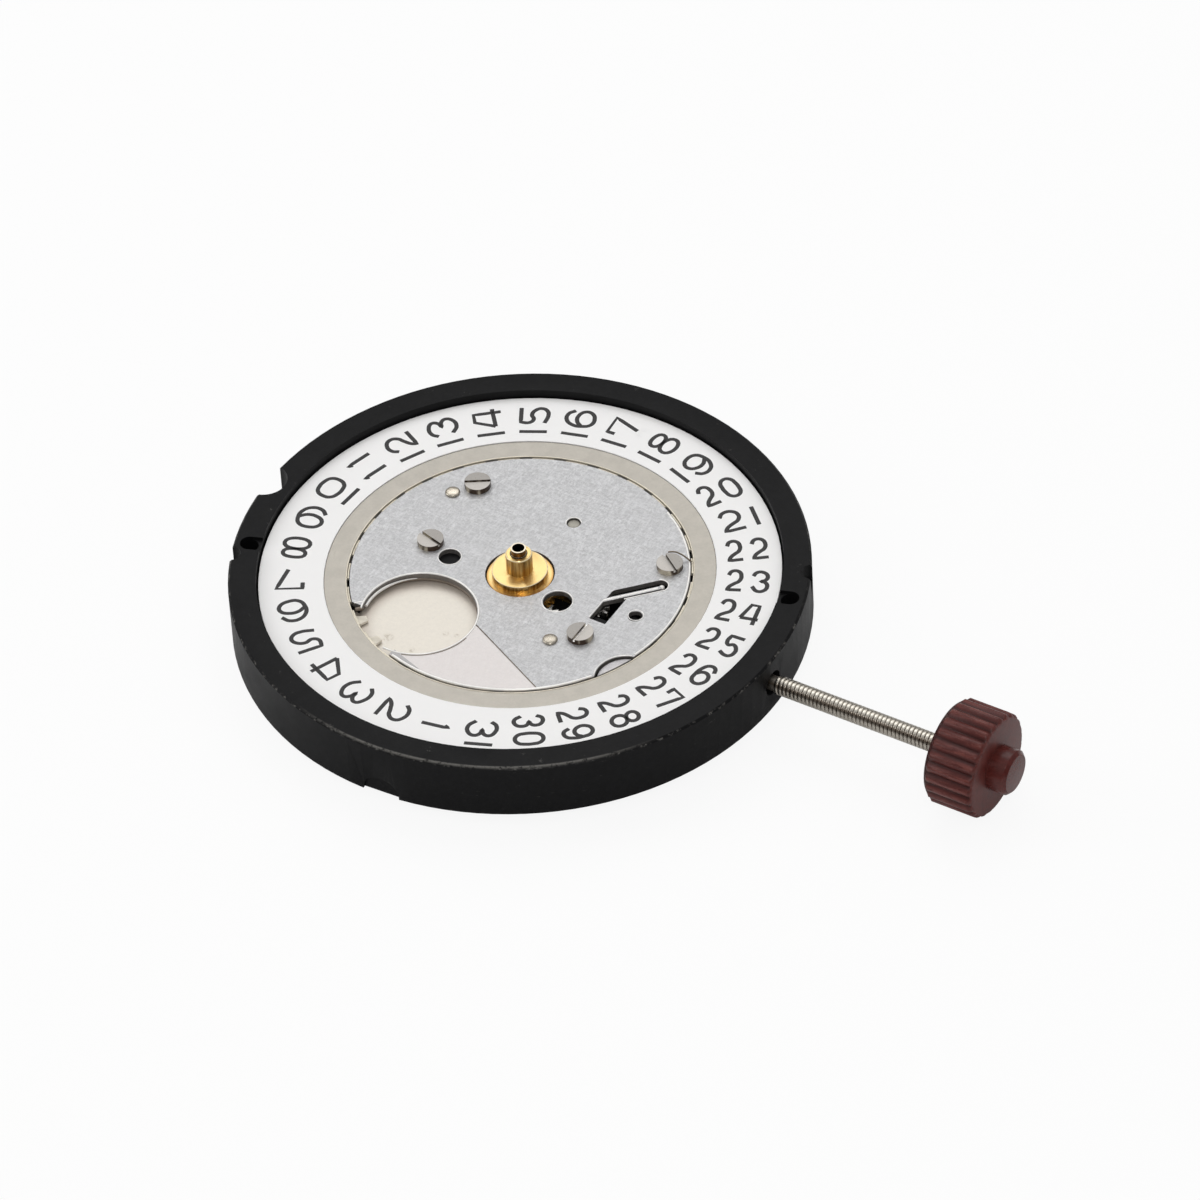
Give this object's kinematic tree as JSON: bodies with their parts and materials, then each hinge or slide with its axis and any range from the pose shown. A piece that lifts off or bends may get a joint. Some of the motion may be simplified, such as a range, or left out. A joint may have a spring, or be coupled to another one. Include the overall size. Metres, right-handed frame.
{
  "type": "watch movement",
  "caption": "Round quartz watch movement with a date ring, central hand pipes, moulded outer ring, coin cell and a winding stem with a ribbed crown.",
  "frame": {"origin": "on the hand axis, in the plane of the underside of the outer ring, where the movement seats in its case", "axes": "+Z to the dial side along the hand axis; +X outward along the winding stem, at 3 o'clock"},
  "size_m": [0.0385, 0.0262, 0.0049],
  "materials": {
    "black_moulding": "fine moulded surface, slightly glossy, rubbed on its edges",
    "nickel_sheet": "satin nickel, faintly mottled",
    "pale_sheet": "smooth satin with a warm cast",
    "screw_steel": "polished nickel",
    "turned_steel": "turned and polished",
    "spring_steel": "stamped and tumbled",
    "ring_metal": "satin, warm grey",
    "printed_white": "white print with black numerals",
    "brass": "turned and gilt",
    "bronze_spring": "rolled strip",
    "magnet": "sintered, matt",
    "soft_iron": "annealed sheet",
    "bobbin_plastic": "moulded",
    "copper_wire": "fine enamelled wire in even turns",
    "cell_steel": "drawn, fine circular brushing",
    "cell_cap_steel": "drawn, matt cream cast",
    "gasket_plastic": "moulded",
    "board_green": "solder resist",
    "chip_black": "moulded",
    "crystal_steel": "drawn can, tinned",
    "stem_steel": "turned, threaded outside",
    "crown_plastic": "moulded, dark red brown"
  },
  "bodies": {
    "movement": {"main_plate": "black_moulding", "steel_posts": "turned_steel", "centre_bush": "brass", "cover_plate": "nickel_sheet", "cell_side_plate": "pale_sheet", "cover_screws": "screw_steel", "locating_pins": "screw_steel", "date_jumper": "bronze_spring", "stator": "soft_iron", "coil_core": "soft_iron", "coil_bobbin": "bobbin_plastic", "coil_winding": "copper_wire", "motor_screws": "screw_steel", "cell_can": "cell_steel", "cell_gasket": "gasket_plastic", "cell_cap": "cell_cap_steel", "cell_face_disc": "cell_cap_steel", "positive_contact": "bronze_spring", "negative_contact": "bronze_spring", "train_bridge": "nickel_sheet", "module_cover": "nickel_sheet", "bridge_screws": "screw_steel", "module_screws": "screw_steel", "circuit_board": "board_green", "circuit_chip": "chip_black", "crystal_can": "crystal_steel", "yoke": "spring_steel"},
    "date_disc": {"date_ring": "ring_metal", "date_band": "printed_white"},
    "date_drive": {"date_wheel": "brass", "date_finger": "spring_steel"},
    "corrector": {"date_corrector": "turned_steel"},
    "hour_work": {"hour_wheel": "brass", "hour_pipe": "brass"},
    "cannon": {"cannon_pinion": "brass"},
    "minute_work": {"minute_wheel": "brass", "minute_pinion": "turned_steel"},
    "setting": {"setting_wheel": "turned_steel"},
    "centre": {"centre_wheel": "brass", "centre_tube": "brass"},
    "seconds": {"second_wheel": "brass", "second_arbor": "turned_steel"},
    "third": {"third_wheel": "brass", "third_pinion": "turned_steel"},
    "intermediate": {"intermediate_wheel": "brass", "intermediate_pinion": "turned_steel"},
    "rotor": {"rotor_pinion": "turned_steel", "rotor_magnet": "magnet"},
    "clutch": {"sliding_pinion": "turned_steel"},
    "winding_stem": {"stem": "stem_steel", "crown": "crown_plastic"},
    "lever": {"setting_lever": "spring_steel"}
  },
  "joints": [
    {"name": "hour_wheel_turn", "type": "hinge", "parent": "movement", "child": "hour_work", "pos_m": [0, 0, 0.0015], "axis": [0, 0, 1], "continuous": true},
    {"name": "cannon_turn", "type": "hinge", "parent": "movement", "child": "cannon", "pos_m": [0, 0, 0.0015], "axis": [0, 0, 1], "continuous": true},
    {"name": "minute_wheel_turn", "type": "hinge", "parent": "movement", "child": "minute_work", "pos_m": [0.00206, -0.00123, 0.0015], "axis": [0, 0, 1], "continuous": true},
    {"name": "setting_wheel_turn", "type": "hinge", "parent": "movement", "child": "setting", "pos_m": [0.004, 0, 0.0015], "axis": [0, 0, 1], "continuous": true},
    {"name": "date_wheel_turn", "type": "hinge", "parent": "movement", "child": "date_drive", "pos_m": [0.0004, 0.004, 0.0015], "axis": [0, 0, 1], "continuous": true},
    {"name": "second_wheel_turn", "type": "hinge", "parent": "movement", "child": "seconds", "pos_m": [0, 0, 0.0015], "axis": [0, 0, 1], "continuous": true},
    {"name": "third_wheel_turn", "type": "hinge", "parent": "movement", "child": "third", "pos_m": [0.00217, 0.00079, 0.0015], "axis": [0, 0, 1], "continuous": true},
    {"name": "centre_wheel_turn", "type": "hinge", "parent": "movement", "child": "centre", "pos_m": [0, 0, 0.0015], "axis": [0, 0, 1], "continuous": true},
    {"name": "intermediate_wheel_turn", "type": "hinge", "parent": "movement", "child": "intermediate", "pos_m": [-0.00201, 0.00107, 0.0015], "axis": [0, 0, 1], "continuous": true},
    {"name": "rotor_turn", "type": "hinge", "parent": "movement", "child": "rotor", "pos_m": [-0.00371, 0.00205, 0.0015], "axis": [0, 0, 1], "continuous": true},
    {"name": "date_disc_turn", "type": "hinge", "parent": "movement", "child": "date_disc", "pos_m": [0, 0, 0.0015], "axis": [0, 0, 1], "continuous": true},
    {"name": "date_corrector_turn", "type": "hinge", "parent": "movement", "child": "corrector", "pos_m": [0.00601, -0.00291, 0.0015], "axis": [0, 0, 1], "continuous": true},
    {"name": "crown_turn", "type": "hinge", "parent": "movement", "child": "clutch", "pos_m": [0.0054, 0, 0.00142], "axis": [1, 0, 0], "continuous": true},
    {"name": "stem_pull", "type": "slide", "parent": "clutch", "child": "winding_stem", "axis": [1, 0, 0], "range_m": [0, 0.00086]},
    {"name": "setting_lever_turn", "type": "hinge", "parent": "movement", "child": "lever", "pos_m": [0.0063, 0.00255, 0.00142], "axis": [0, 0, 1], "range_deg": [0, 21.6]}
  ],
  "couplings": [
    {"joint": "cannon_turn", "follows": "hour_wheel_turn", "ratio": 12},
    {"joint": "minute_wheel_turn", "follows": "hour_wheel_turn", "ratio": -4},
    {"joint": "setting_wheel_turn", "follows": "hour_wheel_turn", "ratio": 15},
    {"joint": "date_wheel_turn", "follows": "hour_wheel_turn", "ratio": -0.5},
    {"joint": "third_wheel_turn", "follows": "second_wheel_turn", "ratio": -0.13333},
    {"joint": "centre_wheel_turn", "follows": "second_wheel_turn", "ratio": 0.016667},
    {"joint": "intermediate_wheel_turn", "follows": "second_wheel_turn", "ratio": -5},
    {"joint": "rotor_turn", "follows": "second_wheel_turn", "ratio": 30},
    {"joint": "setting_lever_turn", "follows": "stem_pull", "rad_per_m": 436}
  ]
}
